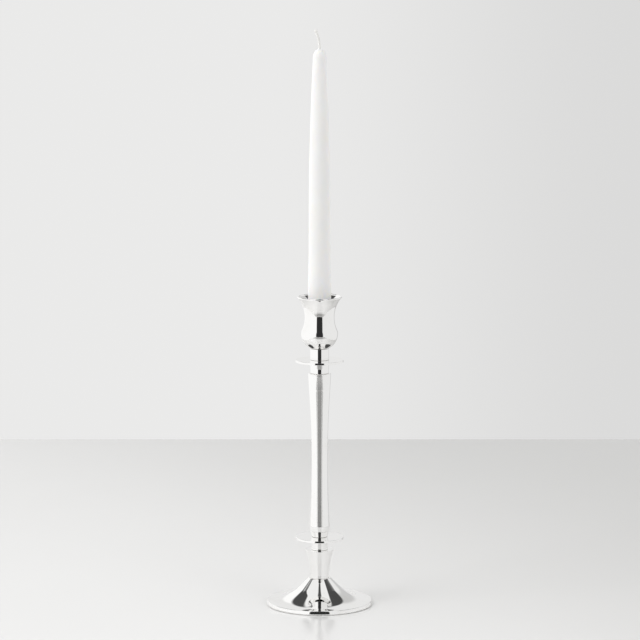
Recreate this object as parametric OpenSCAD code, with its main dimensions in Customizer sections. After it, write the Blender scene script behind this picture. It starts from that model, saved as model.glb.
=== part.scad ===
// Turned candlestick: a stack of polished metal pieces held together by one threaded rod,
// standing on a weighted foot and carrying one taper candle.
// Millimetres, +Z up, origin on the table at the middle of the foot.

/* [Foot] */
// Diameter of the foot over its rim
foot_d = 102.6; // [96:1:112]
// Height of the foot
foot_h = 26; // [23:0.2:28]
// Radius of the foot's top, a little more than the pedestal's that stands on it
foot_top_r = 10.4; // [9.6:0.1:11]
// Slope of the upper part of the foot, in degrees from level
foot_slope = 45; // [42:1:48]
// Thickness of the foot's metal
foot_wall = 1.6; // [1.4:0.1:1.8]
// Height of the band round the foot's rim
rim_h = 4; // [3.6:0.1:4.4]
// How far that band leans inwards, in degrees
rim_lean = 17; // [10:1:22]

/* [Column] */
// Height of the pedestal that flares upwards from the foot
pedestal_h = 27.6; // [24:0.2:32]
// Radius of the pedestal at its foot
pedestal_foot_r = 8.9; // [8:0.1:10]
// Radius of the pedestal at its top
pedestal_top_r = 13.6; // [12:0.1:15]
// Height of the plain neck above the pedestal
lower_neck_h = 10.7; // [6:0.1:12]
// Radius of the plain neck above the pedestal
lower_neck_r = 7.75; // [6:0.05:9]
// Radius of the two thin discs
disc_r = 23.2; // [20:0.1:26]
// Thickness of the two thin discs
disc_t = 2; // [1.4:0.1:2.4]
// Height of the collar between the lower disc and the stem
lower_collar_h = 5.7; // [5:0.1:8]
// Radius of that collar at the disc
lower_collar_foot_r = 7.3; // [6:0.05:9]
// Radius of that collar at the stem
lower_collar_top_r = 8.9; // [7:0.05:10]
// Height of the waisted stem
stem_h = 154.6; // [120:0.2:180]
// Height of the stem's narrowest place above its lower end
stem_waist_z = 69; // [60:1:76]
// Radius of the stem at its narrowest place
stem_waist_r = 7.8; // [7.4:0.1:9]
// Radius of the stem where its flare ends, below the upright shoulder
stem_flare_r = 10.2; // [9.6:0.1:11.2]
// Height of the shoulder over which the stem turns half-way back to upright
stem_shoulder_h = 16; // [10:1:24]
// Height of the tapered lower end of the stem
stem_taper_h = 5; // [3:0.5:6]
// Radius of the stem at the bottom of that taper
stem_foot_r = 9.3; // [8.4:0.1:9.6]
// Height of the collar above the stem
upper_collar_h = 11; // [8:0.1:13]
// Radius of the collar above the stem
upper_collar_r = 8.75; // [7:0.05:10]
// Radius of that collar under the upper disc
upper_collar_top_r = 9.2; // [7:0.05:10]
// Height of the neck under the candle cup
neck_h = 11; // [9:0.1:15]
// Radius of the neck under the candle cup
neck_r = 9.0; // [8.8:0.05:10]

/* [Candle cup] */
// Height of the cup
cup_h = 50.4; // [48:0.2:54]
// Radius of the cup's lip
cup_lip_r = 21.7; // [20.5:0.1:23]
// Thickness of the cup's lip
cup_lip_t = 2; // [1.6:0.1:2.4]
// Radius of the cup's waist
cup_waist_r = 14.3; // [14:0.1:15]
// Height of the cup's waist above the bottom of the cup
cup_waist_z = 30.2; // [29:0.1:31]
// Largest radius of the cup's bulge
cup_bulge_r = 17.75; // [17.4:0.05:18.2]
// Height of the bulge's widest place above the bottom of the cup
cup_bulge_z = 14.5; // [14:0.1:15]
// Depth of the candle socket below the lip
socket_depth = 28; // [26:0.5:30]
// Gap between the candle and the socket, on the radius
socket_gap = 0.3; // [0.25:0.05:0.5]

/* [Candle] */
// Diameter of the candle's butt
candle_d = 22.2; // [21:0.1:22.4]
// Height of the wax above the cup's lip
wax_above_lip = 236.8; // [180:0.2:260]
// Radius of the wax just under its round tip
candle_tip_r = 6.3; // [5:0.1:7]
// Radius of the wick, with the wax on it
wick_r = 1.3; // [1:0.1:1.5]

/* [Inside] */
// Radius of the threaded tie rod
rod_r = 3; // [2.8:0.1:3.1]
// Radius of the clearance hole for the rod
rod_hole_r = 3.3; // [3.25:0.05:3.6]
// Distance from one thread crest to the next
thread_pitch = 1; // [0.8:0.1:1.25]
// Radius of the bore through the stem
stem_bore_r = 5.2; // [5:0.1:5.4]
// Length of each bush in the stem
bush_h = 12; // [8:1:20]
// Width of the tie rod's nut across its flats
nut_flats = 10; // [9:0.5:11]

/* [Hidden] */
$fn = 96;

edge = 0.4;         // chamfer on the ends of the turned pieces
disc_edge = 0.3;    // chamfer on the two thin discs
disc_lean = 6;      // how far their rims lean inwards, in degrees
arc_steps = 14;     // straight steps in a profile's arc

// Where each piece of the column starts
pedestal_z = foot_h;
lower_neck_z = pedestal_z + pedestal_h;
lower_disc_z = lower_neck_z + lower_neck_h;
lower_collar_z = lower_disc_z + disc_t;
stem_z = lower_collar_z + lower_collar_h;
upper_collar_z = stem_z + stem_h;
upper_disc_z = upper_collar_z + upper_collar_h;
neck_z = upper_disc_z + disc_t;
cup_z = neck_z + neck_h;
lip_z = cup_z + cup_h;

// The foot: a level flange that turns upwards on one arc into a cone
rim_r = foot_d / 2;
rim_round = 0.8;                                    // rounding of the band's upper edge
rim_foot_round = 1.1;                               // and of its lower edge
rim_top_r = rim_r - (rim_h - rim_foot_round) * tan(rim_lean);
flange_r = rim_top_r - rim_round - 0.2;             // where the flange starts to turn up
flare_r = ((flange_r - foot_top_r) * tan(foot_slope) - (foot_h - rim_h))
    / (1 / cos(foot_slope) - 1);
flare_c = [flange_r, rim_h + flare_r];
rim_inside_r = rim_r - 2.6;
web_t = 4;                                          // thickness of the foot's top

// The pedestal: an upright band, then a slender cone that turns outwards on one arc
pedestal_band_h = 3;
pedestal_cone_z = 14;                               // where the cone ends
pedestal_lean = 7.5;                                // of the cone, in degrees

// The upper collar: an upright band, then a cone that widens up to the disc
upper_band_h = 4.2;

// The parts under the foot, from the table upwards
felt_t = 1.2;
felt_r = rim_inside_r - 0.2;
plate_t = 1;
plate_r = 37;
plate_z = felt_t;
weight_gap = 0.4;                                   // between the weight and the foot
weight_z = plate_z + plate_t + 0.4;
weight_well_r = 10.5;                               // well for the nut, under the weight
weight_well_z = 12;
washer_t = 1.6;
plain_washer_r = 9;
spring_washer_r = 5.9;
spring_washer_gap = 1.2;
nut_h = 5;
plain_washer_z = weight_well_z - washer_t;
spring_washer_z = plain_washer_z - washer_t;
nut_z = spring_washer_z - nut_h;

// The tie rod
rod_z = nut_z - 0.8;
rod_end_z = cup_z + 12;
thread_depth = 0.55 * thread_pitch;
lower_thread_turns = 14;
upper_thread_turns = 14;

// The cup's outside: bulge, waist and flared lip
cup_turn = 2 * atan((cup_bulge_r - cup_waist_r) / (cup_waist_z - cup_bulge_z));
cup_turn_r = (cup_waist_z - cup_bulge_z) / sin(cup_turn);
cup_shoulder_r = 8;                                 // arc over the widest place
cup_hollow_r = cup_turn_r - cup_shoulder_r;         // arc from there into the waist
cup_belly_r = 16;                                   // arc under the widest place
cup_lip_round = cup_lip_t / 2;
cup_flare_h = cup_h - cup_waist_z - cup_lip_round;
cup_flare_r = flare_radius(cup_waist_r, cup_lip_r, cup_flare_h);

// The cup's inside: the socket and the mouth that opens above it
socket_r = candle_d / 2 + socket_gap;
socket_z = lip_z - socket_depth;
mouth_h = 15;                                       // height of the flared mouth
mouth_top_r = cup_lip_r - cup_lip_t;
mouth_flare_r = flare_radius(socket_r, mouth_top_r, mouth_h);
rod_socket_h = 13;                                  // depth of the threaded hole below

// The candle
butt_r = candle_d / 2;
body_r = butt_r - 0.7;                              // radius above the thicker butt
butt_end_z = lip_z + 9;
taper_z = lip_z + 42;
wax_top_z = lip_z + wax_above_lip;
tip_h = 8.6;                                        // height of the round tip
tip_z = wax_top_z - tip_h;
taper_power = 2.3;                                  // how late the body narrows
// The wick's free end curls over towards -X on one arc and is thickest at the very end
wick_free_h = 15.6;                                 // height of the arc
wick_lean = 3;                                      // how far it leans over by then
wick_bend_r = flare_radius(0, wick_lean, wick_free_h);
wick_bend = asin(wick_free_h / wick_bend_r);
wick_knob_h = 2.6;                                  // length of the thicker end

// Radius of the arc that leaves the upright at r0 and reaches r1 after a height of h
function flare_radius(r0, r1, h) = (h * h + (r1 - r0) * (r1 - r0)) / (2 * (r1 - r0));
// Radius of such a flare at a height of z
function flared(r0, arc_r, z) = r0 + arc_r - sqrt(arc_r * arc_r - z * z);
// Points of an arc about c, from angle a0 to angle a1
function arc(c, r, a0, a1, steps = arc_steps) =
    [for (i = [0:steps]) let (a = a0 + (a1 - a0) * i / steps)
        [c[0] + r * cos(a), c[1] + r * sin(a)]];
// Where a line from p, rising at the foot's slope towards the axis, reaches the height z
function up_slope(p, z) = [p[0] - (z - p[1]) / tan(foot_slope), z];

// A piece turned about Z from its half outline
module turned(outline) {
    rotate_extrude() polygon(outline);
}

// A sleeve on the tie rod, straight or tapered, with its outer edges broken
module sleeve(r0, r1, h, bore_r) {
    turned([[bore_r, 0], [r0 - edge, 0], [r0, edge], [r1, h - edge], [r1 - edge, h], [bore_r, h]]);
}

// A thin disc whose rim leans inwards a little
module thin_disc() {
    upper_r = disc_r - disc_t * tan(disc_lean);
    turned([[rod_hole_r, 0], [disc_r - disc_edge, 0], [disc_r, disc_edge],
        [upper_r, disc_t - disc_edge], [upper_r - disc_edge, disc_t], [rod_hole_r, disc_t]]);
}

module foot() {
    outer_arc = arc(flare_c, flare_r, -90, -90 - foot_slope);
    inner_arc = arc(flare_c, flare_r + foot_wall, -90 - foot_slope, -90);
    color("silver") turned(concat(
        [[rim_inside_r, 0]],
        arc([rim_r - rim_foot_round, rim_foot_round], rim_foot_round, -90, 0, 4),
        arc([rim_top_r - rim_round * (1 - sin(rim_lean)), rim_h - rim_round], rim_round,
            rim_lean, 90, 8),
        outer_arc,
        [up_slope(outer_arc[arc_steps], foot_h - edge)],
        [[foot_top_r - edge, foot_h], [rod_hole_r, foot_h], [rod_hole_r, foot_h - web_t]],
        [up_slope(inner_arc[0], foot_h - web_t)],
        inner_arc,
        [[rim_inside_r, rim_h - foot_wall]]));
}

module foot_weight() {
    arc_r = flare_r + foot_wall + weight_gap;
    start = -90 - acos((flare_c[1] - weight_z) / arc_r);
    outer_arc = arc(flare_c, arc_r, start, -90 - foot_slope);
    color("dimgray") turned(concat(
        [[weight_well_r, weight_z]],
        outer_arc,
        [up_slope(outer_arc[arc_steps], foot_h - web_t)],
        [[rod_hole_r, foot_h - web_t], [rod_hole_r, weight_well_z]],
        [[weight_well_r, weight_well_z]]));
}

module bottom_plate() {
    color("gray") translate([0, 0, plate_z]) cylinder(r = plate_r, h = plate_t);
}

module felt_pad() {
    color("darkslategray") cylinder(r = felt_r, h = felt_t);
}

module pedestal() {
    cone_r = pedestal_foot_r + (pedestal_cone_z - pedestal_band_h) * tan(pedestal_lean);
    flare_h = pedestal_h - pedestal_cone_z - edge;
    end_lean = 2 * atan((pedestal_top_r - cone_r) / flare_h) - pedestal_lean;
    arc_r = flare_h / (sin(end_lean) - sin(pedestal_lean));
    centre = [cone_r + arc_r * cos(pedestal_lean),
        pedestal_cone_z - arc_r * sin(pedestal_lean)];
    color("silver") translate([0, 0, pedestal_z]) turned(concat(
        [[rod_hole_r, 0], [pedestal_foot_r - edge, 0], [pedestal_foot_r, edge],
            [pedestal_foot_r, pedestal_band_h]],
        arc(centre, arc_r, 180 - pedestal_lean, 180 - end_lean),
        [[pedestal_top_r - edge, pedestal_h], [rod_hole_r, pedestal_h]]));
}

module lower_neck() {
    color("silver") translate([0, 0, lower_neck_z])
        sleeve(lower_neck_r, lower_neck_r, lower_neck_h, rod_hole_r);
}

module lower_disc() {
    color("silver") translate([0, 0, lower_disc_z]) thin_disc();
}

module lower_collar() {
    color("silver") translate([0, 0, lower_collar_z])
        sleeve(lower_collar_foot_r, lower_collar_top_r, lower_collar_h, rod_hole_r);
}

module stem() {
    steps = 3 * arc_steps;
    end_round = 0.8;
    flare_end_z = stem_h - stem_shoulder_h;
    arc_r = flare_radius(stem_waist_r, stem_flare_r, flare_end_z - stem_waist_z);
    lean = asin((flare_end_z - stem_waist_z) / arc_r);
    top_lean = lean / 2;
    shoulder_r = stem_shoulder_h / (sin(lean) - sin(top_lean));
    top_r = stem_flare_r + stem_shoulder_h * tan((lean + top_lean) / 2);
    shoulder_c = [top_r - shoulder_r * cos(top_lean), stem_h + shoulder_r * sin(top_lean)];
    step = (lean - top_lean) / arc_steps;
    brim_r = top_r - end_round * tan(top_lean);
    rise = (flare_end_z - stem_taper_h) / steps;
    side = [for (i = [0:steps]) let (z = stem_taper_h + i * rise)
        [flared(stem_waist_r, arc_r, z - stem_waist_z), z]];
    color("silver") translate([0, 0, stem_z]) turned(concat(
        [[stem_bore_r, 0], [stem_foot_r - edge, 0], [stem_foot_r, edge]],
        side,
        arc(shoulder_c, shoulder_r, step - lean, -step - top_lean),
        arc([brim_r - end_round, stem_h - end_round], end_round, 0, 90, 4),
        [[stem_bore_r, stem_h]]));
}

module bush() {
    sleeve(stem_bore_r, stem_bore_r, bush_h, rod_hole_r);
}

module lower_bush() {
    color("goldenrod") translate([0, 0, stem_z]) bush();
}

module upper_bush() {
    color("goldenrod") translate([0, 0, upper_collar_z - bush_h]) bush();
}

module upper_collar() {
    color("silver") translate([0, 0, upper_collar_z]) turned([
        [rod_hole_r, 0], [upper_collar_r - edge, 0], [upper_collar_r, edge],
        [upper_collar_r, upper_band_h], [upper_collar_top_r, upper_collar_h - edge],
        [upper_collar_top_r - edge, upper_collar_h], [rod_hole_r, upper_collar_h]]);
}

module upper_disc() {
    color("silver") translate([0, 0, upper_disc_z]) thin_disc();
}

module neck() {
    color("silver") translate([0, 0, neck_z]) sleeve(neck_r, neck_r, neck_h, rod_hole_r);
}

module candle_cup() {
    mouth_z = cup_h - cup_lip_round - mouth_h;
    color("silver") translate([0, 0, cup_z]) turned(concat(
        [[rod_r, 0]],
        arc([cup_bulge_r - cup_belly_r, cup_bulge_z], cup_belly_r,
            -asin(cup_bulge_z / cup_belly_r), 0),
        arc([cup_bulge_r - cup_shoulder_r, cup_bulge_z], cup_shoulder_r, 3, cup_turn, 8),
        arc([cup_waist_r + cup_hollow_r, cup_waist_z], cup_hollow_r,
            180 + cup_turn * 0.9, 180),
        [for (i = [1:arc_steps]) let (z = i * cup_flare_h / arc_steps)
            [flared(cup_waist_r, cup_flare_r, z), cup_waist_z + z]],
        arc([cup_lip_r - cup_lip_round, cup_h - cup_lip_round], cup_lip_round, 15, 165, 8),
        [for (i = [arc_steps:-1:0]) let (z = i * mouth_h / arc_steps)
            [flared(socket_r, mouth_flare_r, z), mouth_z + z]],
        [[socket_r, cup_h - socket_depth], [0, cup_h - socket_depth]],
        [[0, rod_socket_h + rod_r / 2], [rod_r, rod_socket_h]]));
}

// A threaded end of the rod, as ridges one pitch apart
function thread(z0, turns) = [for (i = [0:turns - 1], p = [
    [rod_r - thread_depth, 0.1], [rod_r, 0.5], [rod_r, 0.6]])
        [p[0], z0 + (i + p[1]) * thread_pitch]];

module tie_rod() {
    upper_thread_z = rod_end_z - (upper_thread_turns + 0.5) * thread_pitch;
    color("lightgray") turned(concat(
        [[0, rod_z], [rod_r - thread_depth, rod_z]],
        thread(rod_z, lower_thread_turns),
        [[rod_r - thread_depth, rod_z + (lower_thread_turns + 0.1) * thread_pitch]],
        [[rod_r, rod_z + (lower_thread_turns + 0.7) * thread_pitch]],
        [[rod_r, upper_thread_z - 0.3 * thread_pitch]],
        thread(upper_thread_z, upper_thread_turns),
        [[rod_r - thread_depth, rod_end_z], [0, rod_end_z]]));
}

module rod_nut() {
    corner_r = nut_flats / 2 / cos(30);
    color("lightgray") translate([0, 0, nut_z]) difference() {
        intersection() {
            cylinder(r = corner_r, h = nut_h, $fn = 6);
            turned([[0, 0], [corner_r - 0.8, 0], [corner_r, 0.5], [corner_r, nut_h - 0.5],
                [corner_r - 0.8, nut_h], [0, nut_h]]);
        }
        translate([0, 0, -1]) cylinder(r = rod_r, h = nut_h + 2);
    }
}

module spring_washer() {
    color("lightgray") translate([0, 0, spring_washer_z]) difference() {
        cylinder(r = spring_washer_r, h = washer_t);
        translate([0, 0, -1]) cylinder(r = rod_hole_r, h = washer_t + 2);
        translate([0, -spring_washer_gap / 2, -1])
            cube([spring_washer_r + 1, spring_washer_gap, washer_t + 2]);
    }
}

module plain_washer() {
    color("lightgray") translate([0, 0, plain_washer_z]) difference() {
        cylinder(r = plain_washer_r, h = washer_t);
        translate([0, 0, -1]) cylinder(r = rod_hole_r, h = washer_t + 2);
    }
}

module candle() {
    steps = 2 * arc_steps;
    length = tip_z - taper_z;
    wick_angle = acos(wick_r / candle_tip_r);
    color("ivory") turned(concat(
        [[wick_r, socket_z], [butt_r - 1, socket_z], [butt_r, socket_z + 1]],
        [[butt_r, butt_end_z], [(butt_r + body_r) / 2 + 0.1, (butt_end_z + taper_z) / 2]],
        [for (i = [0:steps]) [
            body_r - (body_r - candle_tip_r) * pow(i / steps, taper_power),
            taper_z + length * i / steps]],
        [for (i = [1:arc_steps]) let (a = wick_angle * i / arc_steps) [
            candle_tip_r * cos(a),
            tip_z + tip_h * sin(a)]]));
}

module wick() {
    color("white") {
        translate([0, 0, socket_z]) cylinder(r = wick_r, h = wax_top_z - socket_z);
        translate([-wick_bend_r, 0, wax_top_z]) rotate([90, 0, 0])
            rotate_extrude(angle = wick_bend) translate([wick_bend_r, 0]) circle(r = wick_r);
        translate([-wick_lean, 0, wax_top_z + wick_free_h]) rotate([0, -wick_bend, 0])
            turned([[0, 0], [wick_r, 0], [wick_r * 1.2, wick_knob_h * 0.4],
                [wick_r * 1.15, wick_knob_h * 0.7], [wick_r * 0.8, wick_knob_h],
                [0, wick_knob_h]]);
    }
}

foot();
foot_weight();
bottom_plate();
felt_pad();
pedestal();
lower_neck();
lower_disc();
lower_collar();
stem();
lower_bush();
upper_bush();
upper_collar();
upper_disc();
neck();
candle_cup();
tie_rod();
rod_nut();
spring_washer();
plain_washer();
candle();
wick();
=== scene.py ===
import math

import bmesh
import bpy
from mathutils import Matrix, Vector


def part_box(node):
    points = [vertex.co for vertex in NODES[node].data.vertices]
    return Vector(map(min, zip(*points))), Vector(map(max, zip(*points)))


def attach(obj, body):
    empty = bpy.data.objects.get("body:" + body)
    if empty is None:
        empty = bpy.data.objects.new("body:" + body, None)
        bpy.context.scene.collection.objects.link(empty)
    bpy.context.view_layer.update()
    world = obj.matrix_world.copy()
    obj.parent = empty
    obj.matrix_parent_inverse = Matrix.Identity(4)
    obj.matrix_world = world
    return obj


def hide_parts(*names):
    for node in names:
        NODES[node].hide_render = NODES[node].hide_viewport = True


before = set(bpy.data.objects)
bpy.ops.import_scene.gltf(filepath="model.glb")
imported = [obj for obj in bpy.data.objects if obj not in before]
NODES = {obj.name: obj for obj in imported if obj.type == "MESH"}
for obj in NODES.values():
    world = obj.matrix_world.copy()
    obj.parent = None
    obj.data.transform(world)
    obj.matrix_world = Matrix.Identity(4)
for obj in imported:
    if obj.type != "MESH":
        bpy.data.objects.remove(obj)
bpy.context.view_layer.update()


# ---------------------------------------------------------------- node helpers

class Graph:
    """Short names for adding and linking shader nodes in one tree."""

    def __init__(self, tree):
        self.tree = tree
        tree.nodes.clear()

    def add(self, kind, **settings):
        node = self.tree.nodes.new(kind)
        for name, value in settings.items():
            setattr(node, name, value)
        return node

    def link(self, source, target):
        if isinstance(source, (int, float, tuple)):
            target.default_value = source
        else:
            self.tree.links.new(source, target)

    def math(self, operation, a, b=0.0):
        node = self.add("ShaderNodeMath", operation=operation)
        self.link(a, node.inputs[0])
        self.link(b, node.inputs[1])
        return node.outputs[0]

    def plus(self, a, b):
        return self.math("ADD", a, b)

    def times(self, first, *others):
        for other in others:
            first = self.math("MULTIPLY", first, other)
        return first

    def ramp(self, value, low, high, out_low=0.0, out_high=1.0):
        """A smooth step of value between low and high."""
        node = self.add("ShaderNodeMapRange", interpolation_type="SMOOTHSTEP")
        for socket, number in zip(("Value", "From Min", "From Max", "To Min", "To Max"),
                                  (value, low, high, out_low, out_high)):
            self.link(number, node.inputs[socket])
        return node.outputs["Result"]

    def after(self, value, edge):
        """0 before a soft edge, which is a pair of numbers, and 1 after it."""
        return self.ramp(value, *edge)

    def before(self, value, edge):
        return self.ramp(value, *edge, 1.0, 0.0)

    def mix(self, kind, factor, a, b):
        node = self.add("ShaderNodeMix", data_type=kind)
        self.link(factor, node.inputs["Factor"])
        self.link(a, node.inputs["A"])
        self.link(b, node.inputs["B"])
        return node.outputs["Result"]

    def blend(self, factor, a, b):
        """The number a where factor is 0 and b where it is 1."""
        return self.mix("FLOAT", factor, a, b)

    def colour(self, factor, a, b):
        """The colour a where factor is 0 and b where it is 1."""
        return self.mix("RGBA", factor, a, b)

    def split(self, vector):
        node = self.add("ShaderNodeSeparateXYZ")
        self.link(vector, node.inputs[0])
        return node.outputs

    def place(self):
        """The piece's own coordinates, in metres."""
        return self.add("ShaderNodeTexCoord").outputs["Object"]

    def noise(self, place, scale, detail, stretch=None):
        """Cloudy noise around 0.5; stretch scales each axis."""
        if stretch:
            mapping = self.add("ShaderNodeMapping")
            self.link(place, mapping.inputs["Vector"])
            mapping.inputs["Scale"].default_value = stretch
            place = mapping.outputs[0]
        node = self.add("ShaderNodeTexNoise")
        self.link(place, node.inputs["Vector"])
        node.inputs["Scale"].default_value = scale
        node.inputs["Detail"].default_value = detail
        return node.outputs["Fac"]

    def corner_shade(self, reach):
        """1 in the tight corner between two pieces, where shade falls, and 0 in the open: a mask
        for painted shade.
        """
        node = self.add("ShaderNodeAmbientOcclusion")
        node.samples = 4
        node.inputs["Distance"].default_value = reach
        return self.before(node.outputs["AO"], (0.25, 0.85))

    def bump(self, height, distance, strength, shader):
        node = self.add("ShaderNodeBump")
        node.inputs["Distance"].default_value = distance
        node.inputs["Strength"].default_value = strength
        self.link(height, node.inputs["Height"])
        self.link(node.outputs[0], shader.inputs["Normal"])


# ---------------------------------------------------------------- camera

CAMERA_DISTANCE = 3.0        # level distance from the candlestick's axis
CAMERA_HEIGHT = 0.72         # above the surface that it stands on
CAMERA_PITCH = 8.3805        # degrees below the level
CAMERA_FOV = 11.551          # degrees, across the square picture
CAMERA_SIDE = 0.0004         # the axis stands this far left of the picture's middle


def add_camera():
    data = bpy.data.cameras.new("camera")
    data.sensor_width = 36
    data.angle = math.radians(CAMERA_FOV)
    data.clip_start = 0.05
    data.clip_end = 50
    camera = bpy.data.objects.new("camera", data)
    camera.location = (CAMERA_SIDE, -CAMERA_DISTANCE, CAMERA_HEIGHT)
    camera.rotation_euler = (math.radians(90 - CAMERA_PITCH), 0, 0)
    bpy.context.scene.collection.objects.link(camera)
    bpy.context.scene.camera = camera


# ---------------------------------------------------------------- studio
# What the polished metal sees around it, by direction: x is to the right, y away from the
# camera and z up. A pair of numbers is a soft edge, from where it starts to where it ends.

STUDIO_TINT = (1.0, 0.998, 0.992, 1.0)

WALL = 0.825                 # the plain wall behind, as the camera sees it on the left
WALL_RIGHT = 0.71            # and on the right, where less light reaches it
WALL_FADE = (-0.02, 0.10)    # where the one turns into the other
WALL_FRONT = (0.0, 0.12)
WALL_LEFT_END = (-0.22, -0.16)
WALL_RIGHT_END = (0.45, 0.60)

SHADED = 0.60                # the wall beside the right reflector, seen only in the metal
SHADED_START = (0.16, 0.26)
SHADED_END = (0.48, 0.62)

LEFT_CARD = 1.02             # white reflector on the left, which stands a little closer
RIGHT_CARD = 0.84
CARDS_MEET = (-0.05, 0.05)

DARK_ROOF = 0.07             # the dark room above the reflectors and the wall
ROOF_EDGE = (0.82, 0.87)
ROOF_FALL = 0.5              # how fast the edge comes down towards the wall
ROOF_FALL_END = 0.34         # and how far back it stops coming down
BACK_LEFT_EDGE = (0.55, 0.62)          # the edge behind the left reflector, lower still
BACK_LEFT_FRONT = (0.32, 0.44)
BACK_LEFT_END = (-0.12, 0.0)

DARK_GAP = 0.03              # the dark room between the two reflectors, in front
GAP_SLOPE = (0.37, 0.43)     # half-width of the gap, as x over the distance in front
GAP_BACK = (-0.02, 0.02)

TOP_PANEL = 0.9              # white panel straight above
PANEL_LEFT = -0.53           # its edges beside the axis, and how they close in towards the wall
PANEL_LEFT_SLOPE = 0.588
PANEL_RIGHT = 0.40
PANEL_RIGHT_SLOPE = -0.45
PANEL_SOFT = (-0.02, 0.02)
PANEL_FRONT = (-0.40, -0.32)
PANEL_HEIGHT = (0.5, 0.6)
PANEL_WIDE = (0.15, 0.21)    # in front of this edge the panel runs out over the left
SLIT = (0.05, 0.09)          # half-width of the slit across the panel's middle
SLIT_HEIGHT = (0.6, 0.7)


def wall_and_cards(g, x, y):
    """The wall shows between the reflectors' far edges: close to the axis on the left, wider
    on the right."""
    cards = g.blend(g.after(x, CARDS_MEET), LEFT_CARD, RIGHT_CARD)
    behind = g.after(y, WALL_FRONT)
    wall = g.times(behind, g.after(x, WALL_LEFT_END), g.before(x, WALL_RIGHT_END))
    shaded = g.times(behind, g.after(x, SHADED_START), g.before(x, SHADED_END))
    return g.blend(shaded, g.blend(wall, cards, WALL), SHADED)


def roof(g, x, y, z):
    """1 in the dark above the reflectors, which comes lower behind the left one."""
    fall = g.times(g.math("MINIMUM", y, ROOF_FALL_END), ROOF_FALL)
    back_left = g.times(g.after(z, BACK_LEFT_EDGE), g.after(y, BACK_LEFT_FRONT),
                        g.before(x, BACK_LEFT_END))
    return g.math("MAXIMUM", g.after(g.plus(z, fall), ROOF_EDGE), back_left)


def gap(g, side, y):
    """1 in the dark between the reflectors in front."""
    ahead = g.math("MAXIMUM", g.times(y, -1.0), 0.001)
    return g.times(g.before(g.math("DIVIDE", side, ahead), GAP_SLOPE), g.before(y, GAP_BACK))


def top_panel(g, x, y, z):
    """1 on the panel, which narrows towards the wall."""
    left = g.plus(g.times(y, PANEL_LEFT_SLOPE), PANEL_LEFT)
    left = g.blend(g.after(y, PANEL_WIDE), -1.0, left)
    right = g.plus(g.times(y, PANEL_RIGHT_SLOPE), PANEL_RIGHT)
    return g.times(g.after(g.math("SUBTRACT", x, left), PANEL_SOFT),
                   g.after(g.math("SUBTRACT", right, x), PANEL_SOFT),
                   g.after(z, PANEL_HEIGHT), g.after(y, PANEL_FRONT))


def add_world():
    world = bpy.data.worlds.new("studio")
    bpy.context.scene.world = world
    world.use_nodes = True
    g = Graph(world.node_tree)
    x, y, z = g.split(g.add("ShaderNodeTexCoord").outputs["Generated"])
    side = g.math("ABSOLUTE", x)
    light = wall_and_cards(g, x, y)
    light = g.blend(roof(g, x, y, z), light, DARK_ROOF)
    light = g.blend(gap(g, side, y), light, DARK_GAP)
    light = g.blend(top_panel(g, x, y, z), light, TOP_PANEL)
    slit = g.times(g.before(side, SLIT), g.after(z, SLIT_HEIGHT))
    light = g.blend(slit, light, DARK_ROOF)
    seen = g.add("ShaderNodeLightPath").outputs["Is Camera Ray"]
    light = g.blend(seen, light, g.ramp(x, *WALL_FADE, WALL, WALL_RIGHT))
    background = g.add("ShaderNodeBackground")
    background.inputs["Color"].default_value = STUDIO_TINT
    g.link(light, background.inputs["Strength"])
    output = g.add("ShaderNodeOutputWorld")
    g.link(background.outputs[0], output.inputs["Surface"])


FLOOR_BACK = 0.87
FLOOR_FRONT = 0.93
FLOOR_SIDE = 0.45
SHADE_EDGE = 0.31            # where the shaded part of the floor starts, outside the picture
SHADE_DROP = 0.0005
SHADE_DEEPENS = (-0.62, -0.34)
SHADE_FADES = (-0.92, -0.66)
FAR_RIGHT = (-0.2, 0.75)     # painted shade: the floor darkens along this edge, which runs askew
FAR_RIGHT_SKEW = 0.5


def add_sheet(name, front, back, height, material):
    """A level rectangle of the studio."""
    mesh = bpy.data.meshes.new(name)
    corners = [(-FLOOR_SIDE, front, height), (FLOOR_SIDE, front, height),
               (FLOOR_SIDE, back, height), (-FLOOR_SIDE, back, height)]
    mesh.from_pydata(corners, [], [(0, 1, 2, 3)])
    mesh.materials.append(material)
    sheet = bpy.data.objects.new(name, mesh)
    bpy.context.scene.collection.objects.link(sheet)
    return sheet


def floor_material(name, shaded):
    """Pale satin surface, with painted shade on its far right, where less light reaches, and on
    its front where shaded.
    """
    material, g, shader = new_material(name)
    place = g.place()
    cloud = g.noise(place, scale=3.0, detail=2.0)
    g.link(g.ramp(cloud, 0.2, 0.8, 0.15, 0.19), shader.inputs["Roughness"])
    shader.inputs["IOR"].default_value = 1.9
    x, y = g.split(place)[:2]
    pale = g.colour(cloud, (0.915, 0.912, 0.905, 1), (0.935, 0.933, 0.928, 1))
    far_right_shade = g.after(g.plus(x, g.times(y, FAR_RIGHT_SKEW)), FAR_RIGHT)
    # painted shade: the floor's colour turns grey towards its far right
    colour = g.colour(far_right_shade, pale, (0.64, 0.638, 0.63, 1))
    if shaded:
        grey = g.colour(g.after(y, SHADE_FADES), (0.62, 0.617, 0.61, 1),
                        (0.40, 0.398, 0.39, 1))
        colour = g.colour(g.after(y, SHADE_DEEPENS), grey, colour)
    g.link(colour, shader.inputs["Base Color"])
    return material


def add_floor():
    """The floor; outside the picture the polished metal sees its front in the shade."""
    pale = floor_material("floor", False)
    add_sheet("floor", -SHADE_EDGE, FLOOR_BACK, 0, pale)
    front = add_sheet("floor_front", -FLOOR_FRONT, -SHADE_EDGE, 0, pale)
    front.visible_glossy = False
    front.visible_diffuse = False
    front.visible_shadow = False
    shade = add_sheet("floor_shade", -FLOOR_FRONT, -SHADE_EDGE, -SHADE_DROP,
                      floor_material("floor_shade", True))
    shade.visible_camera = False


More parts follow.
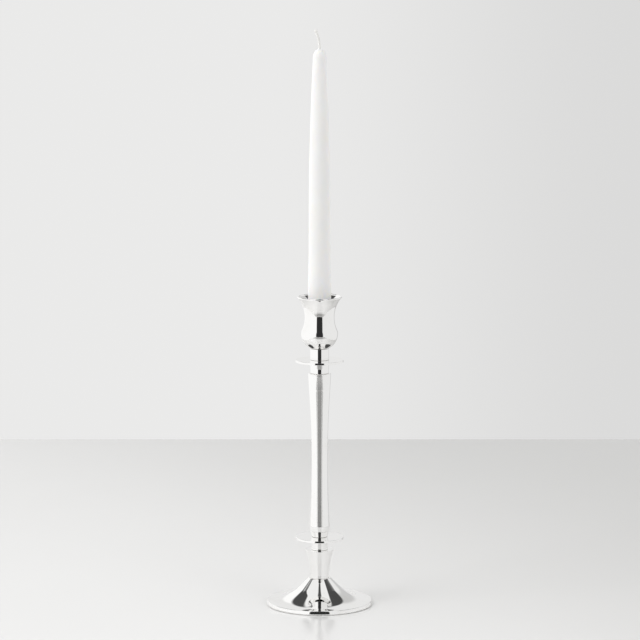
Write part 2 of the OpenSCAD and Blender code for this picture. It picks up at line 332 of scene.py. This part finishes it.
def add_area(name, place, target, size, power):
    """A soft lamp that lights the scene but doesn't show in the polished metal."""
    data = bpy.data.lights.new(name, "AREA")
    data.shape = "SQUARE"
    data.size = size
    data.energy = power
    lamp = bpy.data.objects.new(name, data)
    lamp.location = place
    towards = [b - a for a, b in zip(place, target)]
    flat = math.hypot(towards[0], towards[1])
    lamp.rotation_euler = (math.atan2(flat, -towards[2]), 0, math.atan2(-towards[0], towards[1]))
    lamp.visible_glossy = False
    lamp.visible_camera = False
    bpy.context.scene.collection.objects.link(lamp)


def add_lights():
    add_area("lamp_left", (-1.6, -0.9, 1.5), (0, 0, 0.15), size=1.2, power=16)
    add_area("lamp_right", (1.5, -1.5, 1.0), (0, 0, 0.3), size=1.0, power=7)
    add_area("lamp_above", (-0.2, -0.2, 2.2), (0, 0, 0), size=1.6, power=4)


# ---------------------------------------------------------------- materials
# Noise scales are in waves per metre.

CLOUD = (0.3, 0.7)           # the span of a noise that its ramps take up


def new_material(name):
    material = bpy.data.materials.new(name)
    material.use_nodes = True
    g = Graph(material.node_tree)
    shader = g.add("ShaderNodeBsdfPrincipled")
    output = g.add("ShaderNodeOutputMaterial")
    g.link(shader.outputs[0], output.inputs["Surface"])
    return material, g, shader


def polished_metal():
    """Mirror-polished plate: faint cloudy smudges, fine polishing marks, and dull seams that
    painted shade darkens.
    """
    material, g, shader = new_material("polished_metal")
    shader.inputs["Metallic"].default_value = 1.0
    place = g.place()
    smudge = g.after(g.noise(place, scale=55.0, detail=4.0), (0.50, 0.78))
    marks = g.noise(place, scale=900.0, detail=2.0, stretch=(1.0, 1.0, 9.0))
    shaded_seam = g.corner_shade(reach=0.0007)
    clean = g.colour(smudge, (0.955, 0.952, 0.945, 1), (0.925, 0.92, 0.905, 1))
    # painted shade: the colour darkens in the tight corners between pieces, where shade falls;
    # the seams are also made duller
    g.link(g.colour(shaded_seam, clean, (0.62, 0.60, 0.57, 1)), shader.inputs["Base Color"])
    rough = g.blend(smudge, 0.032, 0.075)
    rough = g.plus(rough, g.ramp(marks, 0.45, 0.75, 0.0, 0.02))
    g.link(g.blend(shaded_seam, rough, 0.22), shader.inputs["Roughness"])
    swell = g.noise(place, scale=38.0, detail=1.0)
    height = g.plus(g.times(swell, 0.9), g.times(marks, 0.03))
    g.bump(height, distance=0.00006, strength=0.35, shader=shader)
    return material


def candle_wax():
    """Dense white wax: soft light inside it, faint mottling, a dulled skin."""
    material, g, shader = new_material("candle_wax")
    place = g.place()
    mottle = g.noise(place, scale=70.0, detail=3.0, stretch=(1.0, 1.0, 0.35))
    speck = g.noise(place, scale=600.0, detail=2.0)
    g.link(g.colour(g.after(mottle, CLOUD), (0.925, 0.92, 0.905, 1), (0.95, 0.945, 0.935, 1)),
           shader.inputs["Base Color"])
    g.link(g.ramp(mottle, *CLOUD, 0.36, 0.50), shader.inputs["Roughness"])
    shader.inputs["Subsurface Weight"].default_value = 0.6
    shader.inputs["Subsurface Radius"].default_value = (1.0, 0.9, 0.75)
    shader.inputs["Subsurface Scale"].default_value = 0.004
    height = g.plus(g.times(mottle, 0.7), g.times(speck, 0.2))
    g.bump(height, distance=0.0002, strength=0.25, shader=shader)
    return material


def wick_cotton():
    """Braided cotton thread, soaked with white wax."""
    material, g, shader = new_material("wick_cotton")
    place = g.place()
    wave = g.add("ShaderNodeTexWave", bands_direction="DIAGONAL")
    g.link(place, wave.inputs["Vector"])
    wave.inputs["Scale"].default_value = 260.0
    wave.inputs["Distortion"].default_value = 2.0
    strand = wave.outputs["Fac"]
    fluff = g.noise(place, scale=900.0, detail=3.0)
    g.link(g.colour(strand, (0.86, 0.85, 0.82, 1), (0.95, 0.945, 0.93, 1)),
           shader.inputs["Base Color"])
    g.link(g.ramp(fluff, *CLOUD, 0.6, 0.85), shader.inputs["Roughness"])
    height = g.plus(g.times(strand, 0.6), g.times(fluff, 0.3))
    g.bump(height, distance=0.0003, strength=0.5, shader=shader)
    return material


def ballast_iron():
    """Grey iron as cast: grainy, with a little brown in the hollows."""
    material, g, shader = new_material("ballast_iron")
    place = g.place()
    grain = g.noise(place, scale=420.0, detail=6.0)
    rust = g.after(g.noise(place, scale=60.0, detail=4.0), (0.52, 0.70))
    iron = g.colour(grain, (0.09, 0.09, 0.095, 1), (0.19, 0.19, 0.19, 1))
    g.link(g.colour(rust, iron, (0.16, 0.085, 0.045, 1)), shader.inputs["Base Color"])
    g.link(g.blend(rust, 0.75, 0.1), shader.inputs["Metallic"])
    g.link(g.ramp(grain, *CLOUD, 0.55, 0.8), shader.inputs["Roughness"])
    g.bump(grain, distance=0.0005, strength=0.6, shader=shader)
    return material


def plain_steel():
    """Bright steel with turning marks and a little oil."""
    material, g, shader = new_material("plain_steel")
    shader.inputs["Metallic"].default_value = 1.0
    place = g.place()
    marks = g.noise(place, scale=260.0, detail=3.0, stretch=(1.0, 1.0, 14.0))
    oil = g.after(g.noise(place, scale=90.0, detail=3.0), (0.5, 0.75))
    steel = g.colour(marks, (0.46, 0.46, 0.47, 1), (0.62, 0.62, 0.63, 1))
    g.link(g.colour(oil, steel, (0.33, 0.31, 0.28, 1)), shader.inputs["Base Color"])
    g.link(g.blend(oil, g.ramp(marks, *CLOUD, 0.28, 0.42), 0.2), shader.inputs["Roughness"])
    g.bump(marks, distance=0.0002, strength=0.3, shader=shader)
    return material


def brass_bush():
    """Sawn and turned brass, browned a little."""
    material, g, shader = new_material("brass_bush")
    shader.inputs["Metallic"].default_value = 1.0
    place = g.place()
    marks = g.noise(place, scale=300.0, detail=3.0, stretch=(1.0, 1.0, 12.0))
    brown = g.after(g.noise(place, scale=110.0, detail=4.0), (0.45, 0.75))
    brass = g.colour(marks, (0.70, 0.50, 0.20, 1), (0.82, 0.62, 0.29, 1))
    g.link(g.colour(brown, brass, (0.42, 0.27, 0.11, 1)), shader.inputs["Base Color"])
    g.link(g.blend(brown, 0.24, 0.48), shader.inputs["Roughness"])
    g.bump(marks, distance=0.0002, strength=0.3, shader=shader)
    return material


def felt():
    """Dark green felt: matted fibres with lighter fluff on top."""
    material, g, shader = new_material("felt")
    place = g.place()
    fibre = g.noise(place, scale=1400.0, detail=6.0)
    patch = g.noise(place, scale=80.0, detail=3.0)
    cloth = g.colour(fibre, (0.012, 0.035, 0.022, 1), (0.05, 0.10, 0.065, 1))
    g.link(g.colour(g.after(patch, (0.55, 0.8)), cloth, (0.07, 0.10, 0.075, 1)),
           shader.inputs["Base Color"])
    g.link(g.ramp(fibre, *CLOUD, 0.9, 1.0), shader.inputs["Roughness"])
    shader.inputs["Sheen Weight"].default_value = 0.4
    g.bump(fibre, distance=0.0008, strength=0.8, shader=shader)
    return material


def dress(node, material):
    mesh = NODES[node].data
    mesh.materials.clear()
    mesh.materials.append(material)


# ---------------------------------------------------------------- turned pieces
# Outlines are lists of (radius, height, rounding) in millimetres, in the frame. The rounding
# is 0 on the points of a curve.

MM = 0.001
TURNS = 192                  # sides of a turned piece
EDGE = 0.35                  # rounding of a turned edge
SEAT = 0.15                  # rounding of an edge that sits on another piece
BORE = 3.3                   # radius of the tie rod's hole
ROUNDING_STEPS = 6
ROUNDING_LEAD = 0.06         # a point this far before and after a rounding keeps its sides flat
ON_AXIS = 1e-6


def span(node):
    """The lowest height, the highest height and the radius of a round CAD node, in mm."""
    low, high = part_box(node)
    return low[2] / MM, high[2] / MM, high[0] / MM


def curve(centre, radius, start, end, steps=24):
    """Points of an arc in an outline, from the angle start to the angle end in degrees."""
    points = []
    for i in range(steps + 1):
        a = math.radians(start + (end - start) * i / steps)
        points.append((centre[0] + radius * math.cos(a), centre[1] + radius * math.sin(a), 0))
    return points


def flare_radius(r0, r1, h):
    """Radius of the arc that leaves the upright at r0 and reaches r1 after a height of h."""
    return (h * h + (r1 - r0) ** 2) / (2 * (r1 - r0))


def flared(r0, arc_r, z):
    """Radius at the height z of the piece that leaves the upright at r0."""
    return r0 + arc_r - math.sqrt(arc_r * arc_r - z * z)


def side_points(corner, other, rounding):
    """Where a corner's rounding ends on the side towards other, and a point just past it."""
    r, z = corner
    length = math.hypot(other[0] - r, other[1] - z)
    reach = min(rounding, 0.45 * length)
    past = min(reach + ROUNDING_LEAD, 0.49 * length) / length
    return ((r + (other[0] - r) * reach / length, z + (other[1] - z) * reach / length),
            (r + (other[0] - r) * past, z + (other[1] - z) * past))


def softened(outline):
    """The outline as plain (radius, height) points, with its corners rounded."""
    points = []
    for i, (r, z, rounding) in enumerate(outline):
        if not rounding:
            points.append((r, z))
            continue
        start, lead_in = side_points((r, z), outline[i - 1], rounding)
        end, lead_out = side_points((r, z), outline[(i + 1) % len(outline)], rounding)
        points.append(lead_in)
        for k in range(ROUNDING_STEPS + 1):
            u = k / ROUNDING_STEPS
            points.append(tuple((1 - u) ** 2 * s + 2 * u * (1 - u) * c + u * u * e
                                for s, c, e in zip(start, (r, z), end)))
        points.append(lead_out)
    return points


def ring_points(bm, r, z):
    """One ring of a turned piece, or its single point on the axis."""
    if r < ON_AXIS:
        return [bm.verts.new((0, 0, z * MM))]
    angles = [2 * math.pi * k / TURNS for k in range(TURNS)]
    return [bm.verts.new((r * MM * math.cos(a), r * MM * math.sin(a), z * MM)) for a in angles]


def turned(name, outline, body, material, node):
    """A closed piece turned about the axis from its half outline."""
    bm = bmesh.new()
    rings = [ring_points(bm, r, z) for r, z in softened(outline)]
    pairs = list(zip(rings, rings[1:]))
    if len(rings[0]) > 1 or len(rings[-1]) > 1:
        pairs.append((rings[-1], rings[0]))
    for lower, upper in pairs:
        if len(lower) == len(upper) == 1:
            continue
        for k in range(TURNS):
            m = (k + 1) % TURNS
            if len(lower) == 1:
                bm.faces.new((lower[0], upper[m], upper[k]))
            elif len(upper) == 1:
                bm.faces.new((lower[k], lower[m], upper[0]))
            else:
                bm.faces.new((lower[k], lower[m], upper[m], upper[k]))
    place_mesh(name, bm, body, material, node)


def place_mesh(name, bm, body, material, node):
    bmesh.ops.recalc_face_normals(bm, faces=bm.faces)
    for face in bm.faces:
        face.smooth = True
    mesh = bpy.data.meshes.new(name)
    bm.to_mesh(mesh)
    bm.free()
    mesh.materials.append(material)
    piece = bpy.data.objects.new(name, mesh)
    bpy.context.scene.collection.objects.link(piece)
    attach(piece, body)
    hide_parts(node)


def turned_metal(node, outline, metal):
    turned(node + "_turned", outline, "candlestick", metal, node)


# The foot
FOOT_TOP_R = 10.4
FOOT_TOP_ROUND = 0.7
FOOT_SLOPE = 45
FOOT_WALL = 1.6
RIM_H = 4.0
RIM_LEAN = 17
RIM_ROUND = 0.8
RIM_FOOT_ROUND = 1.1
FLANGE_FLAT = 0.2
RIM_W = 2.6
WEB = 4.0


def foot(metal):
    base, top, rim = span("foot")
    slope = math.radians(FOOT_SLOPE)
    rim_top = rim - (RIM_H - RIM_FOOT_ROUND) * math.tan(math.radians(RIM_LEAN))
    flange = rim_top - RIM_ROUND - FLANGE_FLAT
    radius = ((flange - FOOT_TOP_R) * math.tan(slope) - (top - RIM_H)) / (1 / math.cos(slope) - 1)
    centre = (flange, RIM_H + radius)
    inner = curve(centre, radius + FOOT_WALL, -90 - FOOT_SLOPE, -90)
    web_r = inner[0][0] - (top - WEB - inner[0][1]) / math.tan(slope)
    outline = [(rim - RIM_W, base, EDGE)]
    outline += curve((rim - RIM_FOOT_ROUND, base + RIM_FOOT_ROUND), RIM_FOOT_ROUND, -90, 0, 8)
    outline += [(rim_top, RIM_H, RIM_ROUND)]
    outline += curve(centre, radius, -90, -90 - FOOT_SLOPE, 48)
    outline += [(FOOT_TOP_R, top, FOOT_TOP_ROUND), (BORE, top, SEAT), (BORE, top - WEB, SEAT),
                (web_r, top - WEB, SEAT)]
    outline += inner
    outline += [(rim - RIM_W, RIM_H - FOOT_WALL, SEAT)]
    turned_metal("foot", outline, metal)


# The pedestal
PEDESTAL_FOOT_R = 8.9
PEDESTAL_BAND_H = 3.0
PEDESTAL_BAND_ROUND = 0.5
PEDESTAL_CONE_Z = 14.0
PEDESTAL_LEAN = 7.5


def pedestal(metal):
    base, top, top_r = span("pedestal")
    lean = math.radians(PEDESTAL_LEAN)
    cone_r = PEDESTAL_FOOT_R + (PEDESTAL_CONE_Z - PEDESTAL_BAND_H) * math.tan(lean)
    height = top - base - PEDESTAL_CONE_Z - EDGE
    end = 2 * math.atan((top_r - cone_r) / height) - lean
    radius = height / (math.sin(end) - math.sin(lean))
    centre = (cone_r + radius * math.cos(lean),
              base + PEDESTAL_CONE_Z - radius * math.sin(lean))
    outline = [(BORE, base, SEAT), (PEDESTAL_FOOT_R, base, SEAT),
               (PEDESTAL_FOOT_R, base + PEDESTAL_BAND_H, PEDESTAL_BAND_ROUND)]
    outline += curve(centre, radius, 180 - PEDESTAL_LEAN, 180 - math.degrees(end), 32)
    outline += [(top_r, top, EDGE), (BORE, top, SEAT)]
    turned_metal("pedestal", outline, metal)


def sleeve(node, metal, foot_r=None):
    base, top, radius = span(node)
    outline = [(BORE, base, SEAT), (foot_r or radius, base, EDGE), (radius, top, EDGE),
               (BORE, top, SEAT)]
    turned_metal(node, outline, metal)


# The discs: the rim leans inwards above its lower edge
DISC_EDGE = 0.3
DISC_EDGE_IN = 0.02
DISC_EDGE_ROUND = 0.1
DISC_LEAN = 6


def thin_disc(node, metal):
    base, top, radius = span(node)
    upper_r = radius - (top - base) * math.tan(math.radians(DISC_LEAN))
    outline = [(BORE, base, SEAT), (radius - DISC_EDGE_IN, base, DISC_EDGE),
               (radius, base + DISC_EDGE, DISC_EDGE_ROUND), (upper_r, top, DISC_EDGE),
               (BORE, top, SEAT)]
    turned_metal(node, outline, metal)


# The two collars
LOWER_COLLAR_FOOT_R = 7.3
UPPER_COLLAR_R = 8.75
UPPER_BAND_H = 4.2
UPPER_BAND_ROUND = 1.5


def upper_collar(metal):
    base, top, top_r = span("upper_collar")
    outline = [(BORE, base, SEAT), (UPPER_COLLAR_R, base, EDGE),
               (UPPER_COLLAR_R, base + UPPER_BAND_H, UPPER_BAND_ROUND), (top_r, top, EDGE),
               (BORE, top, SEAT)]
    turned_metal("upper_collar", outline, metal)


# The stem: a short taper, the long waist, then a shoulder that turns half-way back to the
# upright and runs a little on into the rounding of the end
STEM_FOOT_R = 9.3
STEM_TAPER_H = 5.0
STEM_TAPER_ROUND = 0.8
STEM_WAIST_Z = 69.0
STEM_WAIST_R = 7.8
STEM_FLARE_R = 10.2
STEM_SHOULDER_H = 16.0
SHOULDER_RUN_ON = 1.06
STEM_END_ROUND = 0.8
STEM_BORE = 5.2
STEM_STEPS = 72


def stem(metal):
    base, top, top_r = span("stem")
    waist = base + STEM_WAIST_Z
    low = base + STEM_TAPER_H
    high = top - STEM_SHOULDER_H
    radius = flare_radius(STEM_WAIST_R, STEM_FLARE_R, high - waist)
    lean = math.asin((high - waist) / radius)
    top_lean = lean / 2
    shoulder = STEM_SHOULDER_H / (math.sin(lean) - math.sin(top_lean))
    centre = (top_r - shoulder * math.cos(top_lean), top + shoulder * math.sin(top_lean))
    outline = [(STEM_BORE, base, SEAT), (STEM_FOOT_R, base, EDGE)]
    for i in range(STEM_STEPS + 1):
        z = low + (high - low) * i / STEM_STEPS
        outline.append((flared(STEM_WAIST_R, radius, z - waist), z,
                        0 if i else STEM_TAPER_ROUND))
    outline += curve(centre, shoulder, -math.degrees(lean),
                     -math.degrees(top_lean) * SHOULDER_RUN_ON)[1:]
    outline += curve((top_r - STEM_END_ROUND, top - STEM_END_ROUND), STEM_END_ROUND, 0, 90, 8)
    outline += [(STEM_BORE, top, SEAT)]
    turned_metal("stem", outline, metal)


# The candle cup: a belly and a shoulder about the bulge, a hollow up to the waist, then the
# flare to a half-round lip. The mouth is a funnel that leads into the candle's socket.
CUP_LIP_T = 2.0
CUP_LIP_END = 12             # degrees that each end of the lip's arc leaves out
CUP_WAIST_R = 14.3
CUP_WAIST_Z = 30.2
CUP_BULGE_R = 17.75
CUP_BULGE_Z = 14.5
CUP_SHOULDER_R = 8.0
CUP_SHOULDER_STEPS = 12
CUP_BELLY_R = 16.0
HOLLOW_PART = 0.92           # of the hollow's turn, measured back from the waist
CUP_STEPS = 32
SOCKET_DEPTH = 28.0
SOCKET_GAP = 0.3
MOUTH_H = 15.0
ROD_R = 3.0
ROD_SOCKET_H = 13.0


def candle_cup(metal):
    base, top, lip_r = span("candle_cup")
    lip = CUP_LIP_T / 2
    waist, bulge = base + CUP_WAIST_Z, base + CUP_BULGE_Z
    turn = 2 * math.degrees(math.atan((CUP_BULGE_R - CUP_WAIST_R) / (waist - bulge)))
    hollow = (waist - bulge) / math.sin(math.radians(turn)) - CUP_SHOULDER_R
    flare_h = top - waist - lip
    flare = flare_radius(CUP_WAIST_R, lip_r, flare_h)
    socket_r = span("candle")[2] + SOCKET_GAP
    mouth_z = top - lip - MOUTH_H
    mouth = flare_radius(socket_r, lip_r - CUP_LIP_T, MOUTH_H)
    belly_end = -math.degrees(math.asin(CUP_BULGE_Z / CUP_BELLY_R))
    outline = [(ROD_R, base, SEAT)]
    outline += curve((CUP_BULGE_R - CUP_BELLY_R, bulge), CUP_BELLY_R, belly_end, 0)
    outline += curve((CUP_BULGE_R - CUP_SHOULDER_R, bulge), CUP_SHOULDER_R,
                     turn / CUP_SHOULDER_STEPS, turn, CUP_SHOULDER_STEPS)
    outline += curve((CUP_WAIST_R + hollow, waist), hollow, 180 + turn * HOLLOW_PART, 180)
    for i in range(1, CUP_STEPS + 1):
        z = i * flare_h / CUP_STEPS
        outline.append((flared(CUP_WAIST_R, flare, z), waist + z, 0))
    outline += curve((lip_r - lip, top - lip), lip, CUP_LIP_END, 180 - CUP_LIP_END, 16)
    for i in range(CUP_STEPS, -1, -1):
        z = i * MOUTH_H / CUP_STEPS
        outline.append((flared(socket_r, mouth, z), mouth_z + z, 0))
    outline += [(socket_r, top - SOCKET_DEPTH, SEAT), (0, top - SOCKET_DEPTH, 0),
                (0, base + ROD_SOCKET_H + ROD_R / 2, 0), (ROD_R, base + ROD_SOCKET_H, SEAT)]
    turned_metal("candle_cup", outline, metal)


# The candle: a straight butt, the tapering body, and a round tip about the wick
BODY_STEP = 0.7              # the body is this much slimmer than the butt
BUTT_ROUND = 1.0
BUTT_ABOVE_LIP = 9.0
BUTT_BLEND = 8.0
TAPER_ABOVE_LIP = 42.0
TAPER_POWER = 2.3
TAPER_STEPS = 60
TIP_R = 6.3
TIP_H = 8.6
TIP_STEPS = 24
WICK_R = 1.3


def candle(wax):
    base, top, butt_r = span("candle")
    lip_z = span("candle_cup")[1]
    tip_z = top - TIP_H
    body_r = butt_r - BODY_STEP
    taper_z = lip_z + TAPER_ABOVE_LIP
    outline = [(WICK_R, base, SEAT), (butt_r, base, BUTT_ROUND),
               (butt_r, lip_z + BUTT_ABOVE_LIP, BUTT_BLEND)]
    for i in range(TAPER_STEPS + 1):
        t = i / TAPER_STEPS
        outline.append((body_r - (body_r - TIP_R) * t ** TAPER_POWER,
                        taper_z + (tip_z - taper_z) * t, 0))
    last = math.acos(WICK_R / TIP_R)
    for i in range(1, TIP_STEPS + 1):
        a = last * i / TIP_STEPS
        outline.append((TIP_R * math.cos(a), tip_z + TIP_H * math.sin(a), 0))
    turned("candle_wax_body", outline, "candle", wax, "candle")


# The wick's free end leans over on an arc and ends in a thicker knob
WICK_FREE_H = 15.6
WICK_LEAN = 3.0
WICK_SIDES = 32
WICK_STEPS = 60              # points along the wick inside the candle
BEND_STEPS = 24
KNOB_H = 2.6
KNOB_STEPS = 16
KNOB_SWELL = 0.22
KNOB_REACH = 1.15            # the swelling is over before the knob's end
KNOB_CLOSES = 0.62           # the part of the knob's height where it starts to close
KNOB_CLOSING = 0.9


def wick_path():
    """Points (x, z, lean, radius) along the wick, in millimetres and radians."""
    base = span("wick")[0]
    wax_top = span("candle")[1]
    bend_r = flare_radius(0, WICK_LEAN, WICK_FREE_H)
    bend = math.asin(WICK_FREE_H / bend_r)
    path = [(0, base + (wax_top - base) * i / WICK_STEPS, 0, WICK_R) for i in range(WICK_STEPS)]
    for i in range(BEND_STEPS + 1):
        a = bend * i / BEND_STEPS
        path.append((-bend_r * (1 - math.cos(a)), wax_top + bend_r * math.sin(a), a, WICK_R))
    knob_x, knob_z = path[-1][:2]
    for i in range(1, KNOB_STEPS + 1):
        t = i / KNOB_STEPS
        swell = KNOB_SWELL * math.sin(math.pi * min(t * KNOB_REACH, 1))
        closed = KNOB_CLOSING * max(0, t - KNOB_CLOSES) ** 1.5
        path.append((knob_x - KNOB_H * t * math.sin(bend), knob_z + KNOB_H * t * math.cos(bend),
                     bend, WICK_R * (1 + swell - closed)))
    return path


def wick(cotton):
    bm = bmesh.new()
    path = wick_path()
    rings = []
    for x, z, a, r in path:
        ring = []
        for k in range(WICK_SIDES):
            t = 2 * math.pi * k / WICK_SIDES
            ring.append(bm.verts.new(((x + r * math.cos(t) * math.cos(a)) * MM,
                                      r * math.sin(t) * MM,
                                      (z + r * math.cos(t) * math.sin(a)) * MM)))
        rings.append(ring)
    for lower, upper in zip(rings, rings[1:]):
        for k in range(WICK_SIDES):
            m = (k + 1) % WICK_SIDES
            bm.faces.new((lower[k], lower[m], upper[m], upper[k]))
    for end in (0, -1):
        x, z = path[end][:2]
        centre = bm.verts.new((x * MM, 0, z * MM))
        for k in range(WICK_SIDES):
            bm.faces.new((rings[end][k], rings[end][(k + 1) % WICK_SIDES], centre))
    place_mesh("wick_thread", bm, "candle", cotton, "wick")


def main():
    bpy.context.scene.view_settings.view_transform = "Standard"
    bpy.context.scene.view_settings.look = "None"
    add_camera()
    add_world()
    add_floor()
    add_lights()
    metal = polished_metal()
    foot(metal)
    pedestal(metal)
    sleeve("lower_neck", metal)
    thin_disc("lower_disc", metal)
    sleeve("lower_collar", metal, LOWER_COLLAR_FOOT_R)
    stem(metal)
    upper_collar(metal)
    thin_disc("upper_disc", metal)
    sleeve("neck", metal)
    candle_cup(metal)
    candle(candle_wax())
    wick(wick_cotton())
    dress("foot_weight", ballast_iron())
    dress("felt_pad", felt())
    steel = plain_steel()
    for node in ("bottom_plate", "tie_rod", "rod_nut", "spring_washer", "plain_washer"):
        dress(node, steel)
    brass = brass_bush()
    for node in ("lower_bush", "upper_bush"):
        dress(node, brass)
    for node in ("foot", "pedestal", "lower_neck", "lower_disc", "lower_collar", "stem",
                 "upper_collar", "upper_disc", "neck", "candle_cup"):
        dress(node, metal)


main()
